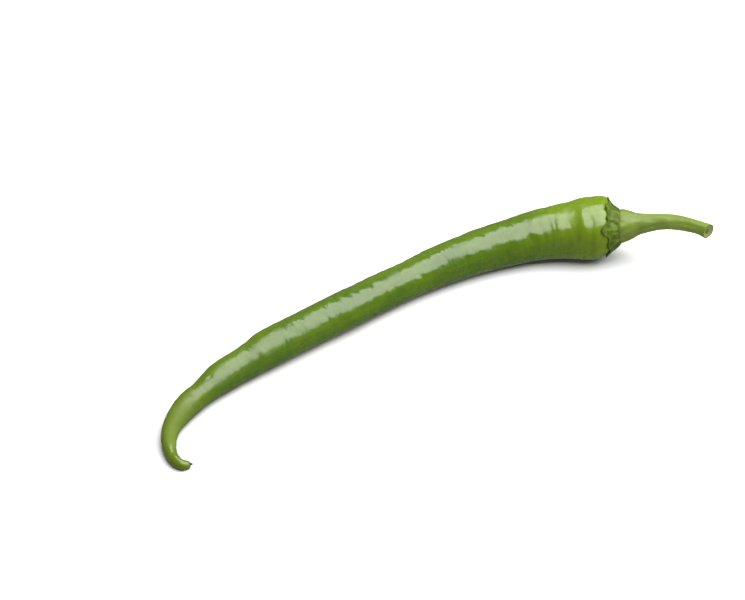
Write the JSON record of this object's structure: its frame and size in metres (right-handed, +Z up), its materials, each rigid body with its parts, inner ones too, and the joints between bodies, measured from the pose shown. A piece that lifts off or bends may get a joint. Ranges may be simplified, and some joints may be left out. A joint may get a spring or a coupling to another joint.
{
  "type": "green chilli pepper",
  "caption": "Long slender green chilli pepper with a curled tip, a close-fitting toothed calyx and a bent, cut stem, lying on its side.",
  "frame": {"origin": "on the surface that the pepper lies on, under the middle of its box", "axes": "+X along the pepper from the tip towards the stem, +Z up, away from the surface it lies on"},
  "size_m": [0.176, 0.0456, 0.019],
  "materials": {
    "pod_skin": "waxy, glossy mid-green skin with fine cross creases, paler at the tip and the shoulder",
    "calyx_green": "satin dark green, ridged, with dried brown edges",
    "stem_green": "satin pale yellow-green, with lengthwise ridges and a woody cut end",
    "dried_style": "matt dark brown, dry"
  },
  "bodies": {
    "root": {"pod": "pod_skin", "calyx": "calyx_green", "stem": "stem_green", "style_remnant": "dried_style"}
  },
  "joints": []
}
